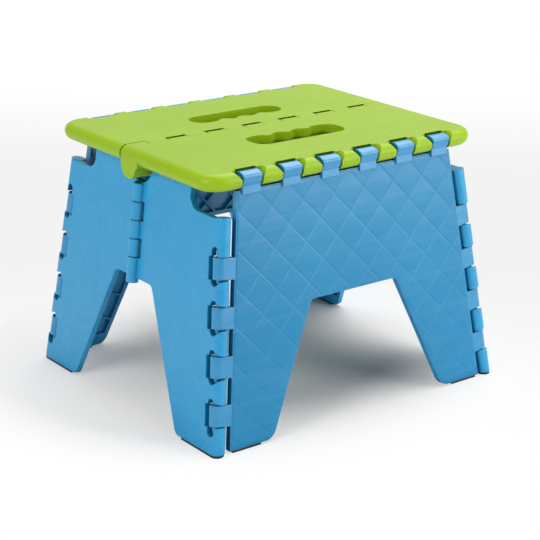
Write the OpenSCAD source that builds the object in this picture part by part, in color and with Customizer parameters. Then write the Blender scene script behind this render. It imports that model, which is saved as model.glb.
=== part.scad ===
// Folding step stool. Two seat halves rise on a centre hinge, the front and
// back panels swing together below them, and four side leaves fold inward.
// Frame: +Z is up, the front panel faces -Y, and the origin is on the floor
// under the middle of the seat. All sizes are in millimetres and degrees.

/* [Seat] */
// Height of the seat's top above the floor
seat_h = 220; // [205:1:240]
// Length of the seat from left to right
seat_l = 277; // [268:1:290]
// Width of the seat from front to back
seat_w = 228; // [220:1:240]
// Thickness of the seat's rim
seat_t = 14; // [13:0.5:14.5]
// Radius of the seat's corners, seen from above
seat_corner_r = 20; // [12:1:24]
// Thickness of the seat's skin
seat_skin = 3; // [2:0.5:4]
// Thickness of the walls under the seat
seat_wall = 3.5; // [2.5:0.5:4.5]
// Thickness of the ribs under the seat
seat_rib = 1.8; // [1.4:0.2:2.6]

/* [Finger slots] */
// Length of a finger slot
slot_l = 93; // [80:1:100]
// Distance from the seat's middle line to the front slot's far edge
front_slot_far = 55; // [52:1:60]
// Distance from the seat's middle line to the front slot's deepest scallops
front_slot_near = 26; // [24:1:28]
// Distance from the seat's middle line to the back slot's far edge
back_slot_far = 58; // [58:0.5:62]
// Distance from the seat's middle line to the back slot's deepest scallops
back_slot_near = 33.5; // [30:0.5:33.5]
// Spacing of the finger scallops
scallop_pitch = 19.6; // [17:0.2:21]
// Depth of the finger scallops
scallop_depth = 4.5; // [2:0.5:5]
// Radius of a slot's ends
slot_end_r = 12; // [8:1:12]
// Depth of the wall round a slot, below the seat's top
slot_wall_h = 7.5; // [5:0.5:12]

/* [Seat centre hinge] */
// Depth of the centre hinge's axis below the seat's top
centre_depth = 15; // [14.8:0.1:16]
// Radius of the round tabs on the centre hinge
tab_r = 9; // [7:0.5:9]
// Spacing of the tabs, from one front tab to the next
tab_pitch = 38.3; // [34:0.1:38.3]
// Number of front tabs between the two end tabs
tab_n = 6; // [4:2:6]
// How far the front tabs reach past the axis
front_tab_reach = 6.8; // [6:0.1:8]
// Where the tips of the back tabs lie behind the axis
back_tab_line = 2.5; // [1:0.5:4]
// Gap behind the tips of the front tabs
tab_tip_gap = 4; // [2.8:0.1:5]
// Radius of the locking ear at each end of the centre hinge
ear_r = 10.5; // [9.5:0.1:10.8]
// Gap between an ear and the end of the other half
ear_gap = 2; // [0.6:0.1:2.4]
// Radius of the fillet between an ear and the seat's underside
ear_fillet = 4; // [1:0.5:4]
// Radius of the steel hinge rod
rod_r = 2.5; // [2:0.1:3]
// Plastic left over the rod's ends
rod_cover = 4.5; // [3:0.5:8]

/* [Edge hinges] */
// Number of knuckles along the front and along the back
knuckle_n = 6; // [4:1:6]
// Spacing of the edge knuckles
knuckle_pitch = 38.7; // [36:0.1:39.5]
// Radius of the edge knuckles
knuckle_r = 6.2; // [5.6:0.1:6.6]
// How far in front of the axis the middle of a knuckle's nose lies
nose_out = 4.5; // [3.5:0.1:4.8]
// How far above the axis the middle of a knuckle's nose lies
nose_up = 1.9; // [1:0.1:2.2]
// Radius of the nose that squares a knuckle's upper front corner
nose_r = 2.6; // [2:0.1:2.8]
// Width of an edge knuckle
knuckle_w = 17.5; // [15:0.1:19]
// Gap at each side of an edge knuckle
knuckle_gap = 1.3; // [0.6:0.1:1.6]
// Gap between an edge knuckle and the hollow round it
knuckle_room = 2.5; // [2.2:0.1:2.8]
// Width of the ramps that the pins snap in over, at the seat's top
ramp_w = 5; // [2:0.5:5.5]
// Height of the ramps' lower ends above the axis
ramp_foot = 1; // [0.5:0.1:3]
// How far the ramps reach behind the axis
ramp_back = 3; // [2:0.5:4]
// Radius of the stub pins on the edge knuckles
edge_pin_r = 3; // [2.4:0.1:3.4]
// Length of the stub pins on the edge knuckles
edge_pin_l = 6; // [4:0.5:7]
// How far a panel's face stands in front of its hinge axis
edge_lead = 1.8; // [1:0.1:2.4]
// How far a knuckle's tab stands proud of the panel's face
tab_proud = 2; // [0.6:0.1:2.4]
// Length of a knuckle's tab below the hinge axis
tab_l = 11.5; // [10:0.5:26]

/* [Front and back panels] */
// Lean of the front and back panels from upright
front_lean = 6.5; // [5:0.1:7.5]
// Thickness of a panel
panel_t = 5.8; // [4.5:0.1:5.8]
// Skin thickness of the panels and leaves
wall_skin = 2.4; // [1.8:0.1:3]
// Height of a panel's top edge below the hinge axis
panel_drop = 8; // [7.6:0.1:10]
// Height of the panel's arch
arch_h = 107; // [90:1:120]
// Width of the panel's arch at its top
arch_top_w = 89; // [70:1:100]
// Width of the panel's arch at the floor
arch_foot_w = 182; // [160:1:190]
// Radius of the arch's upper corners
arch_r = 5; // [2:1:10]
// Radius of the inner corner of each foot
foot_r = 12; // [4:1:14]

/* [Side leaves] */
// Lean of the side leaves from upright
side_lean = 6.9; // [5.5:0.1:7.5]
// Thickness of a leaf
leaf_t = 5.2; // [4.2:0.1:5.2]
// How far the leaves' faces stand inside the seat's ends at the hinge height
side_inset = 14.8; // [12:0.1:18]
// Height of a leaf's top edge
leaf_top = 203.5; // [185:0.5:204]
// Height of the step at a leaf's outer top corner
notch_h = 185.5; // [180:0.5:190]
// Distance from the middle to the step in a leaf's top edge
notch_y = 71; // [66:1:78]
// Radius of the hollow corner of that step
notch_r = 10; // [4:1:12]
// Height of the side arch
side_arch_h = 111; // [95:1:120]
// Width of the side arch at its top
side_arch_top_w = 54; // [40:1:60]
// Width of the side arch at the floor
side_arch_foot_w = 157; // [140:1:165]
// Radius of the upper corners of the side arch
side_arch_r = 6; // [2:0.5:10]
// Radius of the inner corner of a leaf's foot
side_foot_r = 8; // [3:0.5:12]
// Radius of the corner at the top of the step
notch_top_r = 2; // [1:0.5:4]
// Radius of the cut in the leaves round an ear
ear_room = 15; // [13:0.5:18]

/* [Corner hinges] */
// Depth of the corner hinge's axis behind the panel's face
corner_back = 6; // [5.8:0.1:7]
// Depth of the corner hinge's axis inside the leaf's face
corner_in = 6; // [5.6:0.1:6.5]
// How far a leaf's round nose reaches past the corner hinge's axis
nose_lead = 2; // [0:0.1:2.4]
// Number of hinge arms at each corner
arm_n = 4; // [2:1:4]
// Height of the lowest arm's foot
arm_base = 23.2; // [20:0.1:30]
// Spacing of the arms
arm_pitch = 38.25; // [34:0.25:40]
// Height of an arm
arm_h = 17.2; // [14:0.1:20]
// Thickness of an arm's flat part
arm_t = 4.8; // [3.6:0.1:5]
// Distance from the panel's edge to the corner hinge's axis
arm_reach = 9.5; // [9:0.1:12]
// Gap above and below an arm
arm_gap = 0.7; // [0.4:0.1:1.2]
// Distance from the axis to the back of an arm's slot in the leaf
arm_slot = 7.6; // [6.8:0.1:9]
// Radius of the stub pins on the arms
corner_pin_r = 3; // [2:0.1:3.2]
// Length of the stub pins between the arms
corner_pin_l = 4.6; // [3:0.1:6]
// Length of the pin above the top arm and of the one below the lowest arm
end_pin_l = 7.6; // [5:0.1:9]
// Length of the slope at the tip of a stub pin
pin_tip = 1.2; // [0.4:0.1:1.6]
// Room at each side of a pin in its open notch
notch_room = 1.2; // [0.6:0.1:1.6]

/* [Side centre hinges] */
// Distance of the side hinge's axis outside the leaves' faces
side_out = 0.8; // [0.6:0.1:1.2]
// Radius of the side hinge's knuckles
side_r = 5.2; // [4:0.1:5.6]
// Number of knuckles on a side hinge
side_n = 5; // [3:2:5]
// Height of the side hinge's foot
side_base = 106.5; // [100:0.5:112]
// Height of the lowest knuckle
side_first = 22; // [14:0.5:24]
// Height of each further knuckle
side_pitch = 15.3; // [12:0.1:15.3]
// Gap between two knuckles
side_gap = 0.7; // [0.4:0.1:1.2]
// Room round a knuckle, in the slot of the other leaf
side_room = 2.8; // [2:0.1:4]

/* [Feet] */
// Height of the rubber pads below the plastic
pad_h = 2; // [1:0.5:3]
// Distance from a foot's faces to its pad
pad_inset = 0.5; // [0.2:0.1:1]
// Width of the tongue that holds a pad
tongue_w = 1.6; // [1:0.1:2]
// Height of the tongue that holds a pad
tongue_h = 5; // [3:0.5:7]
// Distance from a pad's ends to its tongue
tongue_end = 4; // [2:0.5:8]
// Plastic left above a tongue
tongue_cover = 2; // [1.5:0.5:4]
// Distance from a panel's outer edge to its pad's end
pad_end = 3; // [1:0.5:6]

/* [Ribs and fits] */
// Width of the diamonds that the ribs on the panels' inner faces make
diamond_w = 31; // [24:0.5:40]
// Height of those diamonds
diamond_h = 33.6; // [24:0.2:40]
// Height above the floor of one of the ribs' crossings
diamond_z = 171.4; // [155:0.1:190]
// Thickness of the ribs on the panels and leaves
wall_rib = 1.6; // [1.2:0.1:2.4]
// Spacing of the rungs in the panels' legs
rung_pitch = 24; // [16:1:40]
// Width of the rim round a panel or leaf
wall_rim = 4; // [3:0.5:6]
// Radial clearance of pins and rods in their bores
pin_fit = 0.05; // [0.02:0.01:0.1]
// Clearance of a tongue in its groove
tongue_fit = 0.1; // [0.05:0.01:0.2]
// Gap between parts that move past each other
run_gap = 0.6; // [0.4:0.1:0.8]

/* [Hidden] */
$fn = 64;
// Reach of the shapes that cut everything on one side
BIG = 400;
// How far a cutting shape reaches past what it cuts
over = 1;
// Depth of the outlines below the level cut at a foot
foot_lap = 0.4;
// Steps of a curve drawn as an outline
steps = 24;
lime = [0.66, 0.82, 0.26];
blue = [0.26, 0.62, 0.84];
black = [0.08, 0.08, 0.08];
steel = [0.7, 0.7, 0.72];

// Hinge axes of the seat
edge_r = seat_t / 2;
edge_y = seat_w / 2 - edge_r;
edge_z = seat_h - edge_r;
axis_z = seat_h - centre_depth;
end_tab = tab_n * tab_pitch / 2;
tab_w = tab_pitch / 2 - run_gap;
back_line_front = front_tab_reach + tab_tip_gap;
rod_l = seat_l - 2 * rod_cover;
recess_w = knuckle_w + 2 * knuckle_gap;
room_r = knuckle_r + knuckle_room;
recess_y = edge_y - room_r;
tip_room = norm([back_line_front, centre_depth]);
// The lines that join a knuckle's nose to its round part, a little inside both
nose_turn = atan2(nose_out, nose_up);
nose_d = norm([nose_out, nose_up]);
nose_wrap = acos((knuckle_r - nose_r) / nose_d);
nose_lap = 0.05;

// The leaning planes of the panels and leaves
axis_v = (edge_z + edge_lead * sin(front_lean)) / cos(front_lean);
foot_y = edge_y + axis_v * sin(front_lean) + edge_lead * cos(front_lean);
foot_x = seat_l / 2 - side_inset + edge_z * tan(side_lean);
corner_run = [tan(side_lean), tan(front_lean), 1];
corner_dir = corner_run / norm(corner_run);
front_out = [0, -cos(front_lean), sin(front_lean)];
left_out = [-cos(side_lean), 0, sin(side_lean)];
corner_0 = [
    corner_in / cos(side_lean) - foot_x,
    corner_back / cos(front_lean) - foot_y,
    0
];
// Length along the corner axis for each millimetre of height
along = norm(corner_run);

// Heights measured along the leaning planes
panel_v = (edge_z - panel_drop) / cos(front_lean);
arch_v = arch_h / cos(front_lean);
panel_foot_v = pad_h / cos(front_lean);
arch_slant = (arch_foot_w - arch_top_w) / 2 / (arch_v - panel_foot_v);
leaf_v = leaf_top / cos(side_lean);
notch_v = notch_h / cos(side_lean);
side_arch_v = side_arch_h / cos(side_lean);
leaf_foot_v = pad_h / cos(side_lean);
panel_foot_x = -corner_0[0] - arm_reach / cos(side_lean);
side_slot = side_r + side_room;

// A vector of length one
function unit(v) = v / norm(v);

// Points of an arc of radius r that rounds corner b between a and c
function corner_arc(a, b, c, r, n) =
    let (u = unit(a - b), w = unit(c - b))
    let (half = acos(u * w) / 2)
    let (m = b + unit(u + w) * r / sin(half))
    let (p = b + u * r / tan(half) - m, q = b + w * r / tan(half) - m)
    [for (i = [0:n]) m + r * unit(p * (n - i) / n + q * i / n)];

// An outline with its corners rounded, one radius for each corner
function rounded(pts, radii) =
    let (n = len(pts))
    [for (i = [0:n - 1])
        each radii[i] > 0
            ? corner_arc(pts[(i + n - 1) % n], pts[i], pts[(i + 1) % n], radii[i], 6)
            : [pts[i]]];

// An outline moved inward by d, for points that run counterclockwise
function inset(pts, d) =
    let (n = len(pts))
    [for (i = [0:n - 1])
        let (u = unit(pts[i] - pts[(i + n - 1) % n]), w = unit(pts[(i + 1) % n] - pts[i]))
        let (a = [-u[1], u[0]], b = [-w[1], w[0]])
        pts[i] + (a + b) * d / (1 + a * b)];

// Distance from the middle to a panel's arch, to its edge, and to a leaf's corner axis
function arch_x(v) = arch_top_w / 2 + (arch_v - v) * arch_slant;
function panel_x(v) = panel_foot_x - v * cos(front_lean) * tan(side_lean);
function leaf_axis_x(v) =
    -corner_0[1] - (v * cos(side_lean) - corner_in * sin(side_lean)) * tan(front_lean);

// Middle of front tab i, and of edge knuckle i, along the seat
function tab_x(i) = (i - tab_n / 2 + 0.75) * tab_pitch;
function knuckle_x(i) = (i - (knuckle_n - 1) / 2) * knuckle_pitch;

// Local x along the panel, y up its slope and z out of its face
module on_front() {
    translate([0, -foot_y, 0])
        rotate([90 - front_lean, 0, 0])
            children();
}

// Local x towards the front corner, y up the slope and z out of the left side
module on_left() {
    rotate([0, 0, -90])
        translate([0, -foot_x, 0])
            rotate([90 - side_lean, 0, 0])
                children();
}

// A frame on the left front corner's axis: x in from one face, z up the axis
module on_corner(x, y) {
    z = corner_dir;
    multmatrix([
        [x[0], y[0], z[0], corner_0[0]],
        [x[1], y[1], z[1], corner_0[1]],
        [x[2], y[2], z[2], corner_0[2]]
    ])
        children();
}

module on_panel_corner() {
    on_corner(cross(corner_dir, front_out), -front_out)
        children();
}

module on_leaf_corner() {
    on_corner(-left_out, cross(left_out, corner_dir))
        children();
}

module both_sides() {
    children();
    mirror([1, 0, 0])
        children();
}

module half_turn() {
    rotate([0, 0, 180])
        children();
}

module x_rod(r, x0, x1, y, z) {
    translate([x0, y, z])
        rotate([0, 90, 0])
            cylinder(r = r, h = x1 - x0);
}

module box(x0, x1, y0, y1, z0, z1) {
    translate([x0, y0, z0])
        cube([x1 - x0, y1 - y0, z1 - z0]);
}

// Everything below the rubber pads' tops
module floor_cut() {
    box(-BIG, BIG, -BIG, BIG, -BIG, pad_h);
}

// Crossed ribs over an area, standing from z0 to z1
module lattice(z0, z1) {
    slope = atan2(diamond_h, diamond_w);
    step = diamond_w * sin(slope);
    n = ceil(seat_h / step);
    for (side = [-1, 1])
        for (k = [-n:n])
            translate([0, diamond_z / cos(front_lean), 0])
                rotate([0, 0, side * slope])
                    box(-BIG, BIG, k * step - wall_rib / 2, k * step + wall_rib / 2, z0, z1);
}

// Front and back panels

module panel_outline() {
    v = panel_foot_v - foot_lap;
    x0 = panel_x(v);
    x1 = panel_x(panel_v);
    a = arch_foot_w / 2;
    b = arch_top_w / 2;
    polygon(rounded(
        [[-x0, v], [-a, v], [-b, arch_v], [b, arch_v], [a, v], [x0, v], [x1, panel_v], [-x1, panel_v]],
        [0, foot_r, arch_r, arch_r, foot_r, 0, 0, 0]
    ));
}

// The hollow above the arch on a panel's inner face
module panel_hollow_outline() {
    x0 = panel_x(arch_v);
    x1 = panel_x(panel_v);
    top = panel_v - edge_r;
    polygon(inset([[-x0, arch_v], [x0, arch_v], [x1, top], [-x1, top]], wall_rim));
}

// The hollow in a panel's right leg
module leg_hollow_outline() {
    v0 = panel_foot_v + tongue_h + tongue_cover;
    v1 = arch_v + 2 * wall_rim - wall_rib;
    polygon(inset(
        [[arch_x(v0), v0], [panel_x(v0), v0], [panel_x(v1), v1], [arch_x(v1), v1]],
        wall_rim
    ));
}

// Rungs across a panel's right leg, square to the arch, standing from z0 to z1
module rungs(z0, z1) {
    w = wall_rib / 2;
    translate([arch_x(panel_foot_v), panel_foot_v, 0])
        rotate([0, 0, atan(arch_slant)])
            for (y = [rung_pitch:rung_pitch:arch_h])
                box(0, BIG, y - w, y + w, z0, z1);
}

// The hollows on a panel's inner face, with their ribs left standing
module panel_hollows() {
    low = -panel_t - over;
    high = -wall_skin;
    difference() {
        translate([0, 0, low])
            linear_extrude(high - low)
                panel_hollow_outline();
        lattice(low - over, high + over);
    }
    both_sides()
        difference() {
            translate([0, 0, low])
                linear_extrude(high - low)
                    leg_hollow_outline();
            rungs(low - over, high + over);
        }
}

// A point on a knuckle's profile, at distance d from the axis towards the nose
function nose_point(r, d, turn) =
    d * [cos(nose_turn), sin(nose_turn)]
    + (r - nose_lap) * [cos(nose_turn + turn), sin(nose_turn + turn)];

// Knuckle i of an edge hinge, with its nose, its two stub pins and its tab
module edge_knuckle(i) {
    w = knuckle_w / 2;
    pin = w + edge_pin_l;
    on_front()
        translate([knuckle_x(i), axis_v, 0]) {
            x_rod(knuckle_r, -w, w, 0, -edge_lead);
            x_rod(nose_r, -w, w, nose_up, nose_out - edge_lead);
            translate([-w, 0, -edge_lead])
                rotate([90, 0, 90])
                    linear_extrude(2 * w)
                        polygon([
                            nose_point(knuckle_r, 0, -nose_wrap), nose_point(nose_r, nose_d, -nose_wrap),
                            nose_point(nose_r, nose_d, nose_wrap), nose_point(knuckle_r, 0, nose_wrap)
                        ]);
            x_rod(edge_pin_r, -pin, pin, 0, -edge_lead);
            box(-w, w, -tab_l, 0, -panel_t, tab_proud);
        }
}

// Whether the pin of arm i that points up or down by dir lies past all the arms
function is_end_pin(i, dir) = i == (dir > 0 ? arm_n - 1 : 0);

function pin_l(i, dir) = is_end_pin(i, dir) ? end_pin_l : corner_pin_l;

// Hinge arm i of the left corner, with its two stub pins
module corner_arm(i) {
    s = (arm_base + i * arm_pitch) * along;
    low = -pin_l(i, -1);
    high = arm_h + pin_l(i, 1);
    on_panel_corner() {
        translate([0, 0, s]) {
            cylinder(r = corner_back, h = arm_h);
            translate([0, 0, low])
                cylinder(r1 = corner_pin_r - pin_tip, r2 = corner_pin_r, h = pin_tip);
            translate([0, 0, low + pin_tip])
                cylinder(r = corner_pin_r, h = high - low - 2 * pin_tip);
            translate([0, 0, high - pin_tip])
                cylinder(r1 = corner_pin_r, r2 = corner_pin_r - pin_tip, h = pin_tip);
        }
        box(0, arm_reach + wall_rim, -corner_back, arm_t - corner_back, s, s + arm_h);
    }
}

// The tongue of a rubber pad, or with extra its groove, in a leaning frame
module tongue(x0, x1, t, v, extra) {
    box(
        x0 + tongue_end - extra, x1 - tongue_end + extra,
        v - pad_h / 2, v + tongue_h + extra,
        -t / 2 - tongue_w / 2 - extra, -t / 2 + tongue_w / 2 + extra
    );
}

// Ends of the flat part of a panel's foot and of a leaf's foot
function panel_pad_x0() = arch_foot_w / 2 + foot_r;
function panel_pad_x1() = panel_x(panel_foot_v) - pad_end;
function leaf_pad_x0() = side_arch_foot_w / 2 + side_foot_r;
function leaf_pad_x1() = leaf_axis_x(leaf_foot_v) + nose_lead;

module panel() {
    difference() {
        union() {
            on_front()
                translate([0, 0, -panel_t])
                    linear_extrude(panel_t)
                        panel_outline();
            for (i = [0:knuckle_n - 1])
                edge_knuckle(i);
            both_sides()
                for (i = [0:arm_n - 1])
                    corner_arm(i);
        }
        on_front()
            panel_hollows();
        both_sides()
            on_front()
                tongue(panel_pad_x0(), panel_pad_x1(), panel_t, panel_foot_v, tongue_fit);
        floor_cut();
    }
}

// The pad under the front panel's right foot: a strip with a tongue
module panel_pad() {
    on_front()
        tongue(panel_pad_x0(), panel_pad_x1(), panel_t, panel_foot_v, 0);
    intersection() {
        on_front()
            box(
                panel_pad_x0(), panel_pad_x1(), -panel_t, panel_foot_v + panel_t,
                -panel_t + pad_inset, -pad_inset
            );
        box(-BIG, BIG, -BIG, BIG, 0, pad_h);
    }
}

// Side leaves

module leaf_outline() {
    a = side_arch_foot_w / 2;
    b = side_arch_top_w / 2;
    v = leaf_foot_v - foot_lap;
    x0 = leaf_axis_x(v);
    x1 = leaf_axis_x(notch_v);
    polygon(rounded(
        [
            [run_gap, side_arch_v], [b, side_arch_v], [a, v], [x0 + nose_lead, v],
            [x1 + nose_lead, notch_v], [notch_y, notch_v], [notch_y, leaf_v], [run_gap, leaf_v]
        ],
        [0, side_arch_r, side_foot_r, 0, 0, notch_r, notch_top_r, 0]
    ));
}

// The hollow on a leaf's inner face
module leaf_hollow_outline() {
    v0 = leaf_foot_v + tongue_h + tongue_cover;
    slant = (side_arch_foot_w - side_arch_top_w) / 2 / (side_arch_v - leaf_foot_v);
    a = side_arch_foot_w / 2 - slant * (v0 - leaf_foot_v);
    b = side_arch_top_w / 2;
    x0 = leaf_axis_x(v0) - arm_slot;
    x1 = leaf_axis_x(notch_v) - arm_slot;
    ear_v = (axis_z - ear_room) / cos(side_lean);
    polygon(inset(
        [
            [side_slot, side_arch_v], [b, side_arch_v], [a, v0], [x0, v0], [x1, notch_v],
            [notch_y, notch_v], [notch_y, leaf_v], [ear_room, leaf_v],
            [ear_room, ear_v], [side_slot, ear_v]
        ],
        wall_rim
    ));
}

// Height of the foot of side knuckle k
function side_z(k) = side_base + (k > 0 ? side_first + (k - 1) * side_pitch : 0);

// The knuckles of the side hinge numbered first, first + 2 and so on
module side_knuckles(first) {
    for (k = [first:2:side_n - 1])
        translate([0, side_z(k) / cos(side_lean) + side_gap / 2, side_out])
            rotate([-90, 0, 0])
                cylinder(r = side_r, h = (side_z(k + 1) - side_z(k)) / cos(side_lean) - side_gap);
}

// Slots in a leaf for the other leaf's knuckles
module side_slots(first) {
    for (k = [first:2:side_n - 1])
        box(
            -side_slot, side_slot,
            side_z(k) / cos(side_lean) - side_gap / 2, side_z(k + 1) / cos(side_lean) + side_gap / 2,
            -2 * leaf_t, 2 * leaf_t
        );
}

// Bore and open notch for the pin of arm i that points up or down by dir.
// Towards the nose the notch slopes back to the arm, except at the end pins.
module pin_notch(i, dir) {
    s = (arm_base + i * arm_pitch) * along + (dir > 0 ? arm_h : 0);
    sloped = !is_end_pin(i, dir);
    w = corner_pin_r + notch_room;
    reach = pin_l(i, dir) + arm_gap;
    tip = corner_in + nose_lead + over;
    slope = [for (t = [0:0.2:1])
        [-tip * t, arm_gap + (reach - arm_gap) * (1 + cos(180 * t)) / 2]];
    translate([0, 0, s])
        mirror([0, 0, dir < 0 ? 1 : 0]) {
            cylinder(r = corner_pin_r + pin_fit, h = reach);
            translate([-2 * corner_in, 0, 0])
                rotate([90, 0, 90])
                    linear_extrude(2 * corner_in) {
                        translate([0, reach - w])
                            circle(r = w);
                        translate([sloped ? 0 : -w, -arm_gap])
                            square([sloped ? w : 2 * w, reach - w + arm_gap]);
                        if (sloped)
                            polygon(concat(
                                [[arm_gap, -arm_gap], [arm_gap, reach]],
                                slope,
                                [[-tip, -arm_gap]]
                            ));
                    }
        }
}

// Slot and pin notches in a leaf for corner arm i
module arm_room(i) {
    s = (arm_base + i * arm_pitch) * along;
    box(-3 * corner_in, 3 * corner_in, -3 * corner_in, arm_slot, s - arm_gap, s + arm_h + arm_gap);
    pin_notch(i, -1);
    pin_notch(i, 1);
}

// The left front leaf, with side knuckles first, first + 2 and so on
module leaf(first) {
    difference() {
        union() {
            on_left() {
                translate([0, 0, -leaf_t])
                    linear_extrude(leaf_t)
                        leaf_outline();
            }
            on_leaf_corner()
                translate([0, -nose_lead, 0])
                    cylinder(r = corner_in, h = notch_h * along);
        }
        on_left() {
            difference() {
                translate([0, 0, -leaf_t - over])
                    linear_extrude(leaf_t - wall_skin + over)
                        leaf_hollow_outline();
                lattice(-leaf_t - 2 * over, over - wall_skin);
            }
            side_slots(1 - first);
            tongue(leaf_pad_x0(), leaf_pad_x1(), leaf_t, leaf_foot_v, tongue_fit);
        }
        on_leaf_corner()
            for (i = [0:arm_n - 1])
                arm_room(i);
        x_rod(ear_room, -BIG, 0, 0, axis_z);
        floor_cut();
    }
    on_left()
        side_knuckles(first);
}

// The pad under the left front leaf
module leaf_pad() {
    on_left()
        tongue(leaf_pad_x0(), leaf_pad_x1(), leaf_t, leaf_foot_v, 0);
    intersection() {
        union() {
            on_left()
                box(
                    leaf_pad_x0(), leaf_pad_x1(), -leaf_t, leaf_foot_v + leaf_t,
                    -leaf_t + pad_inset, -pad_inset
                );
            on_leaf_corner()
                translate([0, -nose_lead, -leaf_t])
                    cylinder(r = corner_in - pad_inset, h = 2 * leaf_t);
        }
        box(-BIG, BIG, -BIG, BIG, 0, pad_h);
    }
}

// Seat halves

// A slab with full round edges on three sides, from the front to y = y1
module half_slab(y1) {
    r = edge_r;
    x = seat_l / 2;
    y = seat_w / 2;
    inner = seat_corner_r - r;
    translate([0, 0, seat_h - seat_t])
        linear_extrude(seat_t) {
            translate([seat_corner_r - x, r - y])
                square([2 * (x - seat_corner_r), y - r + y1]);
            translate([r - x, seat_corner_r - y])
                square([2 * (x - r), y - seat_corner_r + y1]);
            for (side = [-1, 1])
                translate([side * (x - seat_corner_r), seat_corner_r - y])
                    circle(r = inner);
        }
    x_rod(r, seat_corner_r - x, x - seat_corner_r, r - y, edge_z);
    for (side = [-1, 1]) {
        translate([side * (x - r), y1, edge_z])
            rotate([90, 0, 0])
                cylinder(r = r, h = y1 + y - seat_corner_r);
        translate([side * (x - seat_corner_r), seat_corner_r - y, edge_z])
            rotate([0, 0, side < 0 ? 180 : 270])
                rotate_extrude(angle = 90)
                    translate([inner, 0])
                        circle(r = r);
    }
}

// Outline of a finger slot, drawn on the front side: three scallops between
// straight runs, with rounded corners
module finger_slot_outline(near, far) {
    r = slot_end_r;
    x = slot_l / 2 - r;
    y0 = r - far;
    y1 = -near - r;
    wave = [for (i = [-steps:steps])
        let (u = i / steps * x)
        let (lift = abs(u) > 1.5 * scallop_pitch ? 1 : -cos(360 * u / scallop_pitch))
        [-u, -near + (lift - 1) * scallop_depth / 2]];
    polygon(concat(
        [for (a = [-90:10:0]) [x + r * cos(a), y0 + r * sin(a)]],
        [for (a = [0:10:90]) [x + r * cos(a), y1 + r * sin(a)]],
        wave,
        [for (a = [90:-10:0]) [-x - r * cos(a), y1 + r * sin(a)]],
        [for (a = [0:-10:-90]) [-x - r * cos(a), y0 + r * sin(a)]]
    ));
}

// A block round the finger slot, from z0 to z1, w wider than the slot
module slot_block(near, far, w, z0, z1) {
    box(-slot_l / 2 - w, slot_l / 2 + w, -far - w, -near + w, z0, z1);
}

// Hollow under a seat half, between its rim and its hinges
module seat_hollow(near, far) {
    x = seat_l / 2 - edge_r - seat_wall / 2;
    y0 = -recess_y + seat_wall;
    y1 = -ear_r - run_gap - seat_wall;
    w = seat_rib / 2;
    bottom = seat_h - seat_t;
    difference() {
        box(-x, x, y0, y1, bottom - over, seat_h - seat_skin);
        slot_block(near, far, seat_wall, bottom, seat_h);
        for (i = [0:2 * knuckle_n]) {
            rib = (i - knuckle_n) * knuckle_pitch / 2;
            box(rib - w, rib + w, y0 - over, y1 + over, bottom, seat_h);
        }
        for (y = [-far - seat_wall, -near + seat_wall])
            box(-x - over, x + over, y - w, y + w, bottom, seat_h);
    }
    slot_block(near, far, seat_wall - w, bottom - over, seat_h - slot_wall_h);
}

// Ramps at both ends of a knuckle's hollow, w from its middle, for the pins
module pin_ramps(w) {
    foot = edge_z + ramp_foot;
    rise = seat_h - foot;
    for (side = [-1, 1])
        translate([0, ramp_back - edge_y, 0])
            rotate([90, 0, 0])
                linear_extrude(ramp_back + edge_r + over)
                    polygon([
                        [side * (w - over), foot], [side * w, foot],
                        [side * (w + ramp_w * (1 + over / rise)), seat_h + over],
                        [side * (w - over), seat_h + over]
                    ]);
}

// Room for the edge knuckles and bores for their pins
module edge_rooms() {
    for (i = [0:knuckle_n - 1]) {
        x = knuckle_x(i);
        w = recess_w / 2;
        reach = knuckle_w / 2 + edge_pin_l + run_gap;
        x_rod(room_r, x - w, x + w, -edge_y, edge_z);
        box(x - w, x + w, -seat_w, -edge_y, seat_h - 2 * seat_t, seat_h + over);
        box(x - w, x + w, -edge_y - over, -recess_y, seat_h - 2 * seat_t, edge_z);
        x_rod(edge_pin_r + pin_fit, x - reach, x + reach, -edge_y, edge_z);
        translate([x, 0, 0])
            pin_ramps(w);
    }
}

// Round tab i of the centre hinge, with a block from y0 to y1
module centre_tab(i, y0, y1) {
    x0 = tab_x(i) - tab_w / 2;
    x1 = tab_x(i) + tab_w / 2;
    x_rod(tab_r, x0, x1, 0, axis_z);
    box(x0, x1, y0, y1, axis_z, seat_h);
}

// Round ear at the left end, for the front half, joined to it up to y = y1
module ear(y1) {
    x0 = -seat_l / 2;
    x1 = -end_tab - run_gap / 2;
    z0 = seat_h - seat_t;
    x_rod(ear_r, x0, x1, 0, axis_z);
    box(x0, x1, -ear_r, y1, axis_z, edge_z);
    box(x0 + edge_r, x1, -ear_r, y1, axis_z, seat_h);
    translate([x0 + edge_r, y1, edge_z])
        rotate([90, 0, 0])
            cylinder(r = edge_r, h = ear_r + y1);
    difference() {
        box(x0, x1, -ear_r - ear_fillet, 0, z0 - ear_fillet, edge_z);
        x_rod(ear_fillet, x0 - over, x1 + over, -ear_r - ear_fillet, z0 - ear_fillet);
    }
}

module rod_bore() {
    x = rod_l / 2 + run_gap / 2;
    x_rod(rod_r + pin_fit, -x, x, 0, axis_z);
}

// What both halves have, drawn on the front side
module seat_common(y1, near, far) {
    difference() {
        half_slab(y1);
        seat_hollow(near, far);
        edge_rooms();
        translate([0, 0, seat_h - 2 * seat_t])
            linear_extrude(3 * seat_t)
                finger_slot_outline(near, far);
    }
}

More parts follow.
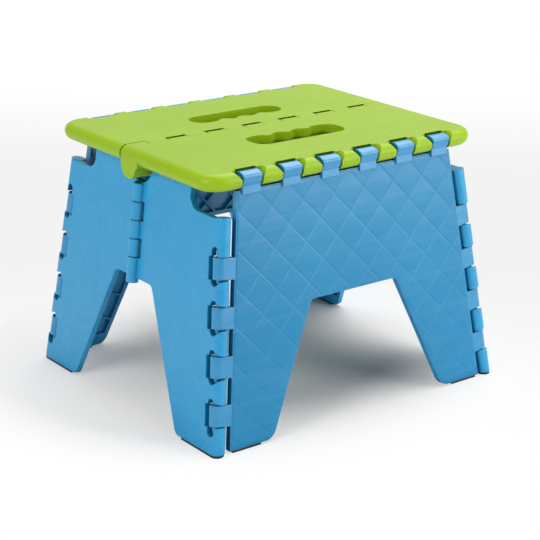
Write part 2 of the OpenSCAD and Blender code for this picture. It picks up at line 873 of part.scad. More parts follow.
module seat_front_half() {
    x_end = seat_l / 2 + over;
    line = back_tab_line - run_gap / 2;
    difference() {
        union() {
            difference() {
                seat_common(line, front_slot_near, front_slot_far);
                for (i = [-1:tab_n - 1])
                    x_rod(
                        tab_r + run_gap, tab_x(i) + tab_pitch / 4, tab_x(i) + 3 * tab_pitch / 4,
                        0, axis_z
                    );
                x_rod(ear_r + run_gap, end_tab, x_end, 0, axis_z);
            }
            for (i = [0:tab_n - 1])
                centre_tab(i, -ear_r, front_tab_reach);
            ear(ear_r);
        }
        rod_bore();
    }
}

// The back half, drawn on the front side and turned round to the back
module seat_back_half() {
    line = -back_line_front;
    tip = -back_tab_line;
    difference() {
        union() {
            difference() {
                seat_common(line, back_slot_near, back_slot_far);
                box(end_tab, seat_l, -ear_r - ear_gap, seat_w, 0, seat_h + over);
                // Round room behind the tips of the front tabs
                x_rod(tip_room, -end_tab, end_tab + over, 0, axis_z);
            }
            for (i = [0:tab_n - 1])
                centre_tab(i, -tip_room - over, tip);
            ear(tip);
        }
        rod_bore();
    }
}

// The named pieces

module seat_front() {
    color(lime)
        seat_front_half();
}

module seat_back() {
    color(lime)
        half_turn()
            seat_back_half();
}

module seat_hinge_rod() {
    color(steel)
        x_rod(rod_r, -rod_l / 2, rod_l / 2, 0, axis_z);
}

module front_panel() {
    color(blue)
        panel();
}

module back_panel() {
    color(blue)
        half_turn()
            panel();
}

module left_front_leaf() {
    color(blue)
        leaf(0);
}

module left_back_leaf() {
    color(blue)
        mirror([0, 1, 0])
            leaf(1);
}

module right_back_leaf() {
    color(blue)
        half_turn()
            leaf(0);
}

module right_front_leaf() {
    color(blue)
        half_turn()
            mirror([0, 1, 0])
                leaf(1);
}

module front_panel_right_pad() {
    color(black)
        panel_pad();
}

module front_panel_left_pad() {
    color(black)
        mirror([1, 0, 0])
            panel_pad();
}

module back_panel_left_pad() {
    color(black)
        mirror([0, 1, 0])
            mirror([1, 0, 0])
                panel_pad();
}

module back_panel_right_pad() {
    color(black)
        mirror([0, 1, 0])
            panel_pad();
}

module left_front_leaf_pad() {
    color(black)
        leaf_pad();
}

module left_back_leaf_pad() {
    color(black)
        mirror([0, 1, 0])
            leaf_pad();
}

module right_front_leaf_pad() {
    color(black)
        mirror([1, 0, 0])
            leaf_pad();
}

module right_back_leaf_pad() {
    color(black)
        half_turn()
            leaf_pad();
}

seat_front();
seat_back();
seat_hinge_rod();
front_panel();
back_panel();
left_front_leaf();
left_back_leaf();
right_front_leaf();
right_back_leaf();
front_panel_left_pad();
front_panel_right_pad();
back_panel_left_pad();
back_panel_right_pad();
left_front_leaf_pad();
left_back_leaf_pad();
right_front_leaf_pad();
right_back_leaf_pad();
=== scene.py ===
"""Looks of the folding step stool: plastic, quilting, rubber, steel, floor, light and camera."""
import math

import bmesh
import bpy
from mathutils import Matrix, Vector


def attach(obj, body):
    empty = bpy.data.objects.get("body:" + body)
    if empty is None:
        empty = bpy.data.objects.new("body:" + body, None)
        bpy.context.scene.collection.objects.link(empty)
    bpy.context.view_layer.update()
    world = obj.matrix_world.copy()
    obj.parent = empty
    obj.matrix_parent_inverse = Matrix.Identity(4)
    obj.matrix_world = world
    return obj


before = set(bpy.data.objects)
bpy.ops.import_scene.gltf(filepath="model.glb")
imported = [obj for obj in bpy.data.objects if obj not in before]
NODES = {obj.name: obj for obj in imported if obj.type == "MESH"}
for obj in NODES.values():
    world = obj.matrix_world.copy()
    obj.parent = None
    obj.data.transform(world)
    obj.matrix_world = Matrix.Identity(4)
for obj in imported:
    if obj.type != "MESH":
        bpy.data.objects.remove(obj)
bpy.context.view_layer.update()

MM = 0.001
WHITE = (1.0, 1.0, 1.0, 1.0)


def add_object(name, data):
    """An object in the scene that shows a mesh, a light or a camera."""
    o = bpy.data.objects.new(name, data)
    bpy.context.scene.collection.objects.link(o)
    return o


def finished_mesh(name, bm, material):
    """A mesh of one material, made from an edit mesh, which is freed."""
    mesh = bpy.data.meshes.new(name)
    bm.to_mesh(mesh)
    bm.free()
    mesh.materials.append(material)
    return mesh


# Node trees

class Nodes:
    """A node tree, with short calls to add and link its nodes."""

    def __init__(self, tree):
        self.tree = tree

    def new(self, kind, settings=None, **inputs):
        """A node. Each input is given as a value, or as the socket to link it to."""
        n = self.tree.nodes.new(kind)
        for key, value in (settings or {}).items():
            setattr(n, key, value)
        for key, value in inputs.items():
            self.put(n.inputs[key.replace("_", " ")], value)
        return n

    def put(self, socket, value):
        if isinstance(value, bpy.types.NodeSocket):
            self.tree.links.new(value, socket)
        else:
            socket.default_value = value

    def put_all(self, sockets, values):
        for socket, value in zip(sockets, values):
            self.put(socket, value)

    def math(self, operation, a, b=0.0, clamp=False):
        n = self.new("ShaderNodeMath", {"operation": operation, "use_clamp": clamp})
        self.put_all(n.inputs, (a, b))
        return n.outputs[0]

    def vector(self, operation, a, b=None, out="Vector"):
        n = self.new("ShaderNodeVectorMath", {"operation": operation})
        self.put_all(n.inputs, (a,) if b is None else (a, b))
        return n.outputs[out]


class Shader(Nodes):
    """The nodes of a material or of the world."""

    def __init__(self, owner):
        owner.use_nodes = True
        super().__init__(owner.node_tree)
        self.owner = owner
        self.tree.nodes.clear()

    def add(self, kind, settings=None, **inputs):
        return self.new("ShaderNode" + kind, settings, **inputs)

    def spread(self, value, low, high, to_low=0.0, to_high=1.0):
        """A value's way from low to high, made a smooth way from to_low to to_high."""
        n = self.add("MapRange", {"interpolation_type": "SMOOTHSTEP"})
        self.put_all(n.inputs, (value, low, high, to_low, to_high))
        return n.outputs[0]

    def mix(self, factor, a, b):
        """Colour a, and more of colour b the higher the factor."""
        n = self.add("Mix", {"data_type": "RGBA"})
        # The node's sockets for numbers and vectors come before those for colours
        self.put_all([n.inputs[k] for k in (0, 6, 7)], (factor, a, b))
        return n.outputs[2]

    def blend(self, factor, a, b):
        """Shader a, and more of shader b the higher the factor."""
        n = self.add("MixShader")
        self.put_all(n.inputs, (factor, a, b))
        return n.outputs[0]

    def noise(self, place, scale, detail=2.0, rough=0.5, distortion=0.0):
        n = self.add(
            "TexNoise", Vector=place, Scale=scale, Detail=detail, Roughness=rough,
            Distortion=distortion,
        )
        return n.outputs["Fac"]

    def stretched(self, place, turn, scale):
        """The place, turned by degrees and scaled, so that a noise there runs in lines."""
        turn = [math.radians(angle) for angle in turn]
        return self.add("Mapping", Vector=place, Rotation=turn, Scale=scale).outputs[0]

    def finish(self, shader, output="OutputMaterial"):
        self.add(output, Surface=shader)
        return self.owner


class Field(Nodes):
    """A geometry node group."""

    def __init__(self, name):
        super().__init__(bpy.data.node_groups.new(name, "GeometryNodeTree"))
        for way in ("INPUT", "OUTPUT"):
            self.tree.interface.new_socket("Geometry", in_out=way, socket_type="NodeSocketGeometry")
        self.start = self.new("NodeGroupInput").outputs[0]

    def add(self, kind, settings=None, **inputs):
        return self.new("GeometryNode" + kind, settings, **inputs)

    def at(self, domain, kind, value, index):
        """The value that a field has at one index of a domain."""
        settings = {"domain": domain, "data_type": kind}
        return self.add("FieldAtIndex", settings, Index=index, Value=value).outputs[0]

    def finish(self, geometry):
        self.put(self.new("NodeGroupOutput").inputs[0], geometry)
        return self.tree


# Materials

PLASTIC_IOR = 1.49
# How much of the clouds, the flow lines and the painted highlight along edges shows, from 0 to 1
CLOUDS, FLOW_LINES, EDGE_HIGHLIGHT = 0.5, 0.07, 0.38
# How wide the painted highlights along edges are, and how near other faces make a gap, in metres
EDGE_HIGHLIGHT_WIDTH, GAP_REACH = 0.0009, 0.03
# Deep in a gap, for the painted shade there: how dark it is, how fully it covers, and the share of
# the gloss left
GAP_SHADE_LEVEL, GAP_SHADE_COVER, GAP_GLOSS_LEFT = 0.3, 0.85, 0.1
SAMPLES = {"samples": 6}


def linear(r, g, b):
    """A colour given as it shows on a screen, 0 to 255, in linear light."""
    out = []
    for c in (r, g, b):
        c /= 255
        out.append(c / 12.92 if c <= 0.04045 else ((c + 0.055) / 1.055) ** 2.4)
    return (*out, 1.0)


def plastic(name, main, shade, pale_and_highlight, rough, flow, scuffs, gloss):
    """Satin moulded plastic: cloudy, with flow lines, scratches where it is worn, painted shade in
    gaps and a painted highlight along its edges.

    The clouds are of the colour shade; the flow lines, the scratches and the painted edge highlight
    are of the pale colour. The flow lines run along x, turned by the angles of flow.
    """
    main, shade, pale_and_highlight = linear(*main), linear(*shade), linear(*pale_and_highlight)
    t = Shader(bpy.data.materials.new(name))
    place = t.add("TexCoord").outputs["Object"]
    normal = t.add("NewGeometry").outputs["Normal"]
    cloud = t.spread(t.noise(place, scale=14.0, detail=3.0, rough=0.55), 0.32, 0.68)
    lines = t.stretched(place, flow, (10.0, 190.0, 190.0))
    lines = t.noise(lines, scale=1.0, detail=4.0, rough=0.6, distortion=0.4)
    colour = t.mix(t.math("MULTIPLY", cloud, CLOUDS), main, shade)
    colour = t.mix(t.spread(lines, 0.42, 0.75, 0.0, FLOW_LINES), colour, pale_and_highlight)
    # Edges and corners, painted pale as a highlight, with breaks
    soft = t.add("Bevel", SAMPLES, Radius=EDGE_HIGHLIGHT_WIDTH).outputs[0]
    edge = t.math("SUBTRACT", 1.0, t.vector("DOT_PRODUCT", normal, soft, "Value"))
    edge = t.spread(edge, 0.01, 0.22)
    broken = t.spread(t.noise(place, scale=160.0, detail=3.0), 0.25, 0.6, 0.35, 1.0)
    painted_edge_highlight = t.math("MULTIPLY", t.math("MULTIPLY", edge, broken), EDGE_HIGHLIGHT)
    colour = t.mix(painted_edge_highlight, colour, pale_and_highlight)
    # Short fine scratches in two directions, in patches
    marks = []
    for turn, size in (((20, 35, 28), 900.0), ((-40, 15, -52), 700.0)):
        streak = t.stretched(place, turn, (26.0, size, size))
        streak = t.noise(streak, scale=1.0, detail=1.0, rough=0.4)
        patch = t.spread(t.noise(place, scale=30.0), 0.56, 0.72)
        marks.append(t.math("MULTIPLY", t.spread(streak, 0.66, 0.72), patch))
    marked = t.math("MAXIMUM", *marks)
    colour = t.mix(t.math("MULTIPLY", marked, scuffs), colour, pale_and_highlight)
    # Gaps and hollows, dull and dark: painted shade where little light reaches, and less gloss
    air = t.add("AmbientOcclusion", SAMPLES, Distance=GAP_REACH, Normal=soft).outputs["AO"]
    # The colour of the painted shade in gaps, a darkened copy of the cloud colour
    dust_and_gap_shade = (*(GAP_SHADE_LEVEL * c for c in shade[:3]), 1.0)
    colour = t.mix(t.spread(air, 0.1, 0.55, GAP_SHADE_COVER, 0.0), colour, dust_and_gap_shade)
    shine = t.spread(air, 0.2, 0.75, GAP_GLOSS_LEFT * gloss, gloss)
    satin = t.noise(place, scale=55.0, detail=3.0, rough=0.6)
    satin = t.spread(satin, 0.3, 0.7, rough - 0.04, rough + 0.05)
    waves = t.noise(place, scale=110.0, detail=1.0)
    peel = t.add("Bump", Strength=0.12, Distance=0.00003, Height=waves, Normal=soft)
    p = t.add(
        "BsdfPrincipled", Base_Color=colour, Roughness=satin, Normal=peel.outputs[0],
        IOR=PLASTIC_IOR, Specular_IOR_Level=shine,
    )
    return t.finish(p.outputs[0])


def rubber(name):
    """Black moulded rubber, matt, with a dusty bloom and small pits."""
    t = Shader(bpy.data.materials.new(name))
    place = t.add("TexCoord").outputs["Object"]
    dust_and_gap_shade = t.noise(place, scale=90.0, detail=4.0, rough=0.6)
    dust_and_gap_shade = t.spread(dust_and_gap_shade, 0.45, 0.75, 0.0, 0.5)
    colour = t.mix(dust_and_gap_shade, linear(26, 26, 27), linear(58, 57, 55))
    rough = t.spread(t.noise(place, scale=400.0), 0.3, 0.7, 0.62, 0.8)
    grain = t.noise(place, scale=1500.0, detail=3.0)
    pits = t.add("Bump", Strength=0.6, Distance=0.00008, Height=grain)
    p = t.add("BsdfPrincipled", Base_Color=colour, Roughness=rough, Normal=pits.outputs[0])
    return t.finish(p.outputs[0])


def steel(name):
    """Drawn steel rod, with fine lines along it."""
    t = Shader(bpy.data.materials.new(name))
    place = t.add("TexCoord").outputs["Object"]
    lines = t.stretched(place, (0, 0, 0), (8.0, 3000.0, 3000.0))
    lines = t.noise(lines, scale=1.0, detail=3.0)
    stain = t.spread(t.noise(place, scale=120.0, detail=4.0), 0.55, 0.8, 0.0, 0.35)
    colour = t.mix(stain, linear(196, 197, 200), linear(142, 134, 124))
    rough = t.spread(lines, 0.3, 0.7, 0.24, 0.42)
    groove = t.add("Bump", Strength=0.4, Distance=0.00003, Height=lines)
    p = t.add(
        "BsdfPrincipled", Base_Color=colour, Roughness=rough, Metallic=1.0,
        Normal=groove.outputs[0],
    )
    return t.finish(p.outputs[0])


LIME = plastic(
    "lime_plastic", main=(155, 193, 12), shade=(146, 185, 8), pale_and_highlight=(200, 226, 112),
    rough=0.30, flow=(0, 0, 8), scuffs=0.02, gloss=0.28,
)
PANEL_BLUE = plastic(
    "panel_blue_plastic", main=(26, 147, 201), shade=(18, 139, 194), pale_and_highlight=(160, 214, 240),
    rough=0.21, flow=(0, 40, 0), scuffs=0.05, gloss=0.75,
)
# The panel's blue for its quilted face, with less gloss and painted darker: painted shade on the
# face beside its lighter knuckles and arms
QUILT_BLUE_SHADED = plastic(
    "quilt_blue_plastic_shaded", main=(20, 138, 188), shade=(12, 130, 181), pale_and_highlight=(140, 198, 230),
    rough=0.19, flow=(0, 40, 0), scuffs=0.05, gloss=0.42,
)
LEAF_BLUE = plastic(
    "leaf_blue_plastic", main=(34, 162, 217), shade=(24, 154, 210), pale_and_highlight=(136, 200, 234),
    rough=0.27, flow=(0, 70, 90), scuffs=0.08, gloss=0.5,
)
RUBBER = rubber("black_rubber")
STEEL = steel("drawn_steel")


# Small round edges

# Width of the rounding, in metres
EDGE_WIDTH, PAD_EDGE_WIDTH = 0.0004, 0.0003
# Edges that bend more than this are rounded
SHARP = math.radians(38)
# An edge is rounded in full when its neighbours are this many widths long
FULL_LENGTH = 2.2
# The cosine of the smallest corner that is rounded, 12 degrees, and its fall to 30 degrees
TIGHT_COSINE, COSINE_FALL = 0.978, 0.112
# An edge that would get less than this share of the rounding stays sharp
LEAST_WEIGHT = 0.12


def edge_weights(width):
    """Stores how much of the rounding each sharp edge takes.

    That is all of it, or less where its neighbours are short or meet it at a small angle, so
    that no rounding runs into the next one.
    """
    g = Field("edge_weights")
    ends = g.add("InputMeshEdgeVertices").outputs
    length = g.vector("DISTANCE", ends["Position 1"], ends["Position 2"], "Value")
    angle = g.add("InputMeshEdgeAngle").outputs["Unsigned Angle"]
    sharp = g.math("GREATER_THAN", angle, SHARP)
    # The shortest edge at each vertex
    own = g.add("InputIndex").outputs[0]
    first = g.add("EdgesOfVertex", Vertex_Index=own, Weights=length)
    short = g.at("EDGE", "FLOAT", length, first.outputs["Edge Index"])
    # The smallest corner at each vertex that a sharp edge runs along
    corner_vertex = g.add("VertexOfCorner").outputs[0]
    place = g.at("POINT", "FLOAT_VECTOR", g.add("InputPosition").outputs[0], corner_vertex)
    both = g.vector("ADD", ends["Position 1"], ends["Position 2"])
    corner_edges = g.add("EdgesOfCorner").outputs
    ways, marks = [], []
    for edge in (corner_edges["Next Edge Index"], corner_edges["Previous Edge Index"]):
        total = g.at("EDGE", "FLOAT_VECTOR", both, edge)
        way = g.vector("SUBTRACT", total, g.vector("ADD", place, place))
        ways.append(g.vector("NORMALIZE", way))
        marks.append(g.at("EDGE", "FLOAT", sharp, edge))
    cosine = g.vector("DOT_PRODUCT", *ways, "Value")
    counts = g.math("MAXIMUM", *marks)
    room = g.math("SUBTRACT", TIGHT_COSINE, cosine)
    room = g.math("DIVIDE", room, COSINE_FALL, clamp=True)
    room = g.math("ADD", room, g.math("SUBTRACT", 1.0, counts), clamp=True)
    worst = g.add("CornersOfVertex", Vertex_Index=own, Weights=room)
    tight = g.at("CORNER", "FLOAT", room, worst.outputs["Corner Index"])
    share = g.math("DIVIDE", short, width * FULL_LENGTH, clamp=True)
    share = g.math("MULTIPLY", share, tight)
    # Each edge takes the smaller share of its two ends
    pair = [g.at("POINT", "FLOAT", share, ends[f"Vertex Index {k}"]) for k in (1, 2)]
    weight = g.math("MULTIPLY", sharp, g.math("MINIMUM", *pair))
    weight = g.math("MULTIPLY", weight, g.math("GREATER_THAN", weight, LEAST_WEIGHT))
    store = g.add(
        "StoreNamedAttribute", {"domain": "EDGE", "data_type": "FLOAT"},
        Geometry=g.start, Name="bevel_weight_edge", Value=weight,
    )
    return g.finish(store.outputs[0])


def smooth_faces():
    """Smooth shading, broken at the edges that stay sharp."""
    g = Field("smooth_faces")
    angle = g.add("InputMeshEdgeAngle").outputs["Unsigned Angle"]
    keep = g.new("FunctionNodeCompare", {"data_type": "FLOAT", "operation": "LESS_EQUAL"})
    g.put_all(keep.inputs, (angle, SHARP))
    out = g.start
    for domain, smooth_there in (("FACE", True), ("EDGE", keep.outputs[0])):
        shade = g.add("SetShadeSmooth", {"domain": domain}, Geometry=out, Shade_Smooth=smooth_there)
        out = shade.outputs[0]
    return g.finish(out)


SMOOTH = smooth_faces()
WEIGHTS = {}


def soft_edges(o, width):
    """Small round edges, as a mould leaves them, on a CAD node."""
    weld = o.modifiers.new("weld", "WELD")
    weld.merge_threshold = 0.02 * MM
    flat = o.modifiers.new("flat_faces", "DECIMATE")
    flat.decimate_type = "DISSOLVE"
    flat.angle_limit = math.radians(0.6)
    if width not in WEIGHTS:
        WEIGHTS[width] = edge_weights(width)
    o.modifiers.new("edge_weights", "NODES").node_group = WEIGHTS[width]
    bevel = o.modifiers.new("soft_edges", "BEVEL")
    bevel.width = width
    bevel.segments = 2
    bevel.limit_method = "WEIGHT"
    bevel.use_clamp_overlap = False
    bevel.harden_normals = False
    o.modifiers.new("smooth_faces", "NODES").node_group = SMOOTH
    normals = o.modifiers.new("normals", "WEIGHTED_NORMAL")
    normals.keep_sharp = True


def looks(name):
    """The material of a CAD node, and the width of its round edges."""
    if name == "seat_hinge_rod":
        return STEEL, 0
    if name.endswith("_pad"):
        return RUBBER, PAD_EDGE_WIDTH
    if name.startswith("seat_"):
        return LIME, EDGE_WIDTH
    if name.endswith("_panel"):
        return PANEL_BLUE, EDGE_WIDTH
    return LEAF_BLUE, EDGE_WIDTH


for name in NODES:
    material, width = looks(name)
    NODES[name].data.materials.clear()
    NODES[name].data.materials.append(material)
    if width:
        soft_edges(NODES[name], width)


# Quilting on the outer faces of the front and back panels

# The leaning face and its outline as the CAD has them, in millimetres, with x across the face
# and v up it. Its sides lean in by EDGE_SLOPE, and an arch parts its two feet, whose inner
# corners are round
LEAN = math.radians(6.5)
FOOT_Y = 133.08
EDGE_X, EDGE_SLOPE = 133.863, 0.12023
TOP_V, FOOT_V = 206.326, 2.013
ARCH_V, ARCH_TOP, ARCH_FOOT = 107.692, 44.5, 91.0
ARCH_SLOPE = (ARCH_FOOT - ARCH_TOP) / (ARCH_V - FOOT_V)
FOOT_R = 12.0

# The diamonds' width and height, where on v a row of their corners lies, and the distance
# from a groove to the next
QUILT_W, QUILT_H, QUILT_V = 31.0, 33.6, 172.51
QUILT_PITCH = QUILT_W * QUILT_H / math.hypot(QUILT_W, QUILT_H)
# Height of a groove over the CAD face, what the swell beside it and a diamond's dome add to
# that, and what the pit at a crossing of grooves takes away
GROOVE_H, SWELL_H, DOME_H, PIT_H = 0.12, 0.20, 0.20, 0.10
DOME_POWER = 2.4
# How far from a groove the swell reaches its height, and how far from a crossing the pit ends
SWELL_R, PIT_R = 0.8, 0.9
# At its border the quilting dips this far into the CAD face, over this width
RIM_DIP, RIM_W = 0.12, 1.1
# Where the quilted skin ends below the CAD face
SKIN_BOTTOM = -0.4

# The grid's lines within a diamond, closest beside its grooves, and its diamonds each way
GRID_LINES = (0.0, 0.018, 0.038, 0.07, 0.16, 0.32, 0.5, 0.68, 0.84, 0.93, 0.962, 0.982)
GRID_REACH = 12
# How far the grid goes past the face
GRID_MARGIN = 8
# Distances from the border of the lines along it, the first being the quilting's own border,
# and how near to the border a face is cut by them
RIMS = (0.3, 0.6, 0.95, 1.45)
RIM_REACH = 9
# Where along a foot's round corner its straight cuts touch it
CORNER_CUTS = (0.2, 0.5, 0.8)


def smooth(x):
    x = min(max(x, 0.0), 1.0)
    return x * x * (3 - 2 * x)


def arch_half(v):
    """Half the width of the arch at a height."""
    return ARCH_FOOT + (ARCH_TOP - ARCH_FOOT) * (v - FOOT_V) / (ARCH_V - FOOT_V)


# The middle of a foot's round inner corner
CORNER_X = arch_half(FOOT_V + FOOT_R) + FOOT_R * math.hypot(1, ARCH_SLOPE)
CORNER_V = FOOT_V + FOOT_R


def to_border(x, v):
    """Distance from a point of the panel's face to the face's border."""
    x = abs(x)
    side = (EDGE_X - EDGE_SLOPE * v - x) / math.hypot(1, EDGE_SLOPE)
    arch = max((x - arch_half(v)) / math.hypot(1, ARCH_SLOPE), v - ARCH_V)
    inside = min(side, TOP_V - v, arch, v - FOOT_V)
    out_x, out_v = x - CORNER_X, v - FOOT_V - FOOT_R
    if out_x < 0 and out_v - ARCH_SLOPE * out_x < 0:
        inside = min(inside, FOOT_R - math.hypot(out_x, out_v))
    return inside


def face_to_border(f):
    return to_border(*f.calc_center_median()[:2])


def quilt_height(x, v):
    """Height of the quilting over the CAD face, in millimetres."""
    a, b = x / QUILT_W, (v - QUILT_V) / QUILT_H
    to_groove = []
    for s in (a + b, a - b):
        s -= math.floor(s)
        to_groove.append(min(s, 1 - s))
    swell = smooth(min(to_groove) * QUILT_PITCH / SWELL_R)
    dome = 1
    for s in to_groove:
        dome *= 1 - (1 - 2 * s) ** DOME_POWER
    pit = 1 - smooth(max(to_groove) * QUILT_PITCH / PIT_R)
    h = GROOVE_H + SWELL_H * swell + DOME_H * dome - PIT_H * pit
    edge = smooth((to_border(x, v) - RIMS[0]) / RIM_W)
    return h * edge - RIM_DIP * (1 - edge)


def diamond_grid():
    """A flat grid past the whole face, its lines along the quilting's grooves."""
    lines = [i + c for i in range(-GRID_REACH, GRID_REACH + 1) for c in GRID_LINES]
    bm = bmesh.new()
    corner = {}
    for i, a in enumerate(lines):
        for j, b in enumerate(lines):
            x, v = (a + b) / 2 * QUILT_W, QUILT_V + (a - b) / 2 * QUILT_H
            if abs(x) < EDGE_X + GRID_MARGIN and -GRID_MARGIN < v < TOP_V + GRID_MARGIN:
                corner[i, j] = bm.verts.new((x, v, 0))
    for i, j in corner:
        ring = [(i, j), (i, j + 1), (i + 1, j + 1), (i + 1, j)]
        if all(k in corner for k in ring):
            bm.faces.new([corner[k] for k in ring])
    return bm


def border_lines(d):
    """The lines at a distance inside the border, each as a point and a direction across it."""
    up = Vector((0, 1))
    lines = [(Vector((0, v)), up) for v in (FOOT_V + d, TOP_V - d, ARCH_V + d)]
    edge_x = EDGE_X - d * math.hypot(1, EDGE_SLOPE)
    arch_x = arch_half(FOOT_V) + d * math.hypot(1, ARCH_SLOPE)
    for side in (-1, 1):
        lines.append((Vector((side * edge_x, 0)), Vector((side, EDGE_SLOPE)).normalized()))
        lines.append((Vector((side * arch_x, FOOT_V)), Vector((side, ARCH_SLOPE)).normalized()))
        for k in CORNER_CUTS:
            turn = math.radians(-90 - k * (90 - math.degrees(math.atan(ARCH_SLOPE))))
            n = Vector((side * math.cos(turn), math.sin(turn)))
            lines.append((Vector((side * CORNER_X, CORNER_V)) + n * (FOOT_R - d), n))
    return lines


def cut_to_border(bm):
    """Cuts the grid along the rims, and drops what lies outside the first."""
    for d in RIMS:
        for p, n in border_lines(d):
            near = [f for f in bm.faces if abs(face_to_border(f)) < RIM_REACH]
            geom = set(near)
            geom |= {e for f in near for e in f.edges} | {v for f in near for v in f.verts}
            bmesh.ops.bisect_plane(
                bm, geom=list(geom), dist=1e-4, plane_co=(*p, 0), plane_no=(*n, 0)
            )
    out = [f for f in bm.faces if face_to_border(f) < RIMS[0]]
    bmesh.ops.delete(bm, geom=out, context="FACES")
    bmesh.ops.delete(bm, geom=[v for v in bm.verts if not v.link_faces], context="VERTS")


def open_edges(bm):
    return [e for e in bm.edges if len(e.link_faces) == 1]


def quilt(name, body, back):
    """The quilted skin of a panel: a closed thin piece, sunk a little into the panel's face."""
    bm = diamond_grid()
    cut_to_border(bm)
    for v in bm.verts:
        v.co.z = quilt_height(v.co.x, v.co.y)
    for f in bm.faces:
        f.normal_update()
    if sum(f.normal.z for f in bm.faces) < 0:
        bmesh.ops.reverse_faces(bm, faces=bm.faces[:])
    # The skin's sides and underside, added in the same order each time
    rim = open_edges(bm)
    border = [v for v in bm.verts if v.is_boundary]
    under = {v: bm.verts.new((v.co.x, v.co.y, SKIN_BOTTOM)) for v in border}
    for e in rim:
        bm.edges.new([under[v] for v in e.verts])
    for e in rim:
        a = e.link_loops[0].vert
        b = e.other_vert(a)
        bm.faces.new((b, a, under[a], under[b]))
    bmesh.ops.holes_fill(bm, edges=open_edges(bm), sides=0)
    bmesh.ops.recalc_face_normals(bm, faces=bm.faces[:])
    for f in bm.faces:
        f.smooth = True
    turn = Matrix.Rotation(math.radians(90) - LEAN, 4, "X")
    place = Matrix.Translation((0, -FOOT_Y, 0)) @ turn
    if back:
        place = Matrix.Rotation(math.pi, 4, "Z") @ place
    bm.transform(Matrix.Diagonal((MM, MM, MM, 1)) @ place)
    o = add_object(name, finished_mesh(name, bm, QUILT_BLUE_SHADED))
    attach(o, body)


quilt("front_panel_quilt", "front_panel", False)
quilt("back_panel_quilt", "back_panel", True)


# Floor, in metres from the stool's middle

FLOOR_R = 9.0
# How far from two middles the floor that the camera sees fades to white, which paints light over
# the outer part of the stool's shadow, and how white the second fade gets
FADE_MIDDLE, FADE_FROM, FADE_TO = (0.0, 0.06, 0.0), 0.14, 0.29
ASIDE_MIDDLE, ASIDE_FROM, ASIDE_TO, ASIDE_WHITE = (0.06, 0.03, 0.0), 0.12, 0.24, 0.45
# Where a reflection sees the floor fade to white
MIRRORED_FROM, MIRRORED_TO = 1.25, 1.7
# The direction away from the camera, and where along it the white turns a little grey, as painted
# shade, and then white again
BEHIND = (0.63, 0.78, 0.0)
GREY_FROM, GREY_TO, WHITE_FROM, WHITE_TO = -0.2, 0.3, 0.62, 1.15


def floor_material():
    """Pale studio floor that the camera sees fade to white, painted light over the outer part of
    the stool's shadow, with a faint grey strip of painted shade behind.
    """
    t = Shader(bpy.data.materials.new("studio_floor"))
    place = t.add("TexCoord").outputs["Object"]
    speck = t.spread(t.noise(place, scale=30.0, detail=4.0), 0.3, 0.7, 0.0, 0.02)
    colour = t.mix(speck, linear(249, 247, 245), linear(236, 234, 232))
    flat = t.add("BsdfDiffuse", Color=colour, Roughness=0.2)
    behind = t.vector("DOT_PRODUCT", place, BEHIND, "Value")
    greyer = t.spread(behind, GREY_FROM, GREY_TO)
    painted_shade_band = t.math("MULTIPLY", greyer, t.spread(behind, WHITE_FROM, WHITE_TO, 1.0, 0.0))
    white = t.add("Emission", Color=t.mix(painted_shade_band, WHITE, linear(243, 243, 243)), Strength=1.0)
    far = t.vector("DISTANCE", place, FADE_MIDDLE, "Value")
    path = t.add("LightPath").outputs
    aside = t.vector("DISTANCE", place, ASIDE_MIDDLE, "Value")
    # Painted light: white over the floor's shading and the outer part of the stool's shadow
    painted_light_pool = t.spread(far, FADE_FROM, FADE_TO)
    painted_light_aside = t.spread(aside, ASIDE_FROM, ASIDE_TO, 0.0, ASIDE_WHITE)
    painted_light_pool = t.math("MAXIMUM", painted_light_pool, painted_light_aside)
    near_white = t.math("MULTIPLY", painted_light_pool, path["Is Camera Ray"])
    mirrored = t.math("MAXIMUM", path["Is Glossy Ray"], path["Is Transmission Ray"])
    mirrored = t.math("MULTIPLY", t.spread(far, MIRRORED_FROM, MIRRORED_TO), mirrored)
    fade = t.math("MAXIMUM", near_white, mirrored)
    return t.finish(t.blend(fade, flat.outputs[0], white.outputs[0]))


bm = bmesh.new()
bmesh.ops.create_circle(bm, cap_ends=True, segments=96, radius=FLOOR_R)
floor = add_object("floor", finished_mesh("floor", bm, floor_material()))


# World: plain soft light, and white where the camera or a reflection sees it

SOFT_COLOUR, SOFT_STRENGTH = (1.0, 0.985, 0.97, 1.0), 0.13
# How bright a reflection sees the white
GLOSSY_STRENGTH = 0.6

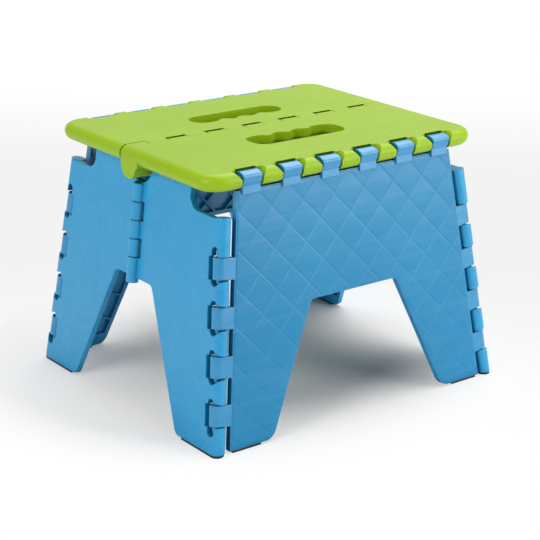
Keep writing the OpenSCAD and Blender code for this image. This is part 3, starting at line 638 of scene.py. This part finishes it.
world = bpy.data.worlds.new("studio")
bpy.context.scene.world = world
world.cycles.sampling_method = "NONE"
sky = Shader(world)
path = sky.add("LightPath").outputs
seen = sky.math("MAXIMUM", path["Is Camera Ray"], path["Is Glossy Ray"])
seen = sky.math("MAXIMUM", seen, path["Is Transmission Ray"])
plain = sky.add("Background", Color=SOFT_COLOUR, Strength=SOFT_STRENGTH)
level = sky.add("MapRange", Value=path["Is Glossy Ray"], To_Min=1.0, To_Max=GLOSSY_STRENGTH)
bright = sky.add("Background", Color=WHITE, Strength=level.outputs[0])
sky.finish(sky.blend(seen, plain.outputs[0], bright.outputs[0]), "OutputWorld")


# Lights

def area_light(name, place, aim, size, power):
    """A rectangular light, its places and size in metres and its power in watts."""
    data = bpy.data.lights.new(name, "AREA")
    data.shape = "RECTANGLE"
    data.size, data.size_y = size
    data.energy = power
    o = add_object(name, data)
    o.location = place
    o.rotation_euler = (Vector(aim) - Vector(place)).to_track_quat("-Z", "Y").to_euler()


area_light("top_light", (0.55, 0.1, 1.5), aim=(0, 0, 0.1), size=(1.9, 1.6), power=25.5)
area_light("left_light", (-1.35, -0.2, 0.8), aim=(0, 0, 0.12), size=(0.9, 0.9), power=10.5)
area_light("right_light", (0.8, -1.4, 0.8), aim=(0, 0, 0.12), size=(1.0, 0.8), power=8.2)
area_light("low_light", (0.66, -1.0, 0.26), aim=(0, -0.12, 0.16), size=(1.0, 0.42), power=2.9)


# Camera at the photograph's place, turned as the photograph was taken

CAMERA_PLACE = (-0.7998, -1.0791, 0.5486)
YAW, PITCH, ROLL = math.radians(-38.82), math.radians(19.33), math.radians(0.86)

ahead = Vector((
    -math.sin(YAW) * math.cos(PITCH), math.cos(YAW) * math.cos(PITCH), -math.sin(PITCH)
))
right = Vector((math.cos(YAW), math.sin(YAW), 0))
above = right.cross(ahead)
across = right * math.cos(ROLL) + above * math.sin(ROLL)
upward = above * math.cos(ROLL) - right * math.sin(ROLL)
camera_data = bpy.data.cameras.new("camera")
camera_data.sensor_width = 36
camera_data.lens = 108.08
camera_data.shift_x = -0.1059
camera_data.shift_y = 0.0244
camera_data.clip_start = 0.05
camera_data.clip_end = 30
camera = add_object("camera", camera_data)
turned = Matrix((across, upward, -ahead)).transposed().to_4x4()
camera.matrix_world = Matrix.Translation(CAMERA_PLACE) @ turned
bpy.context.scene.camera = camera
bpy.context.scene.view_settings.view_transform = "Standard"
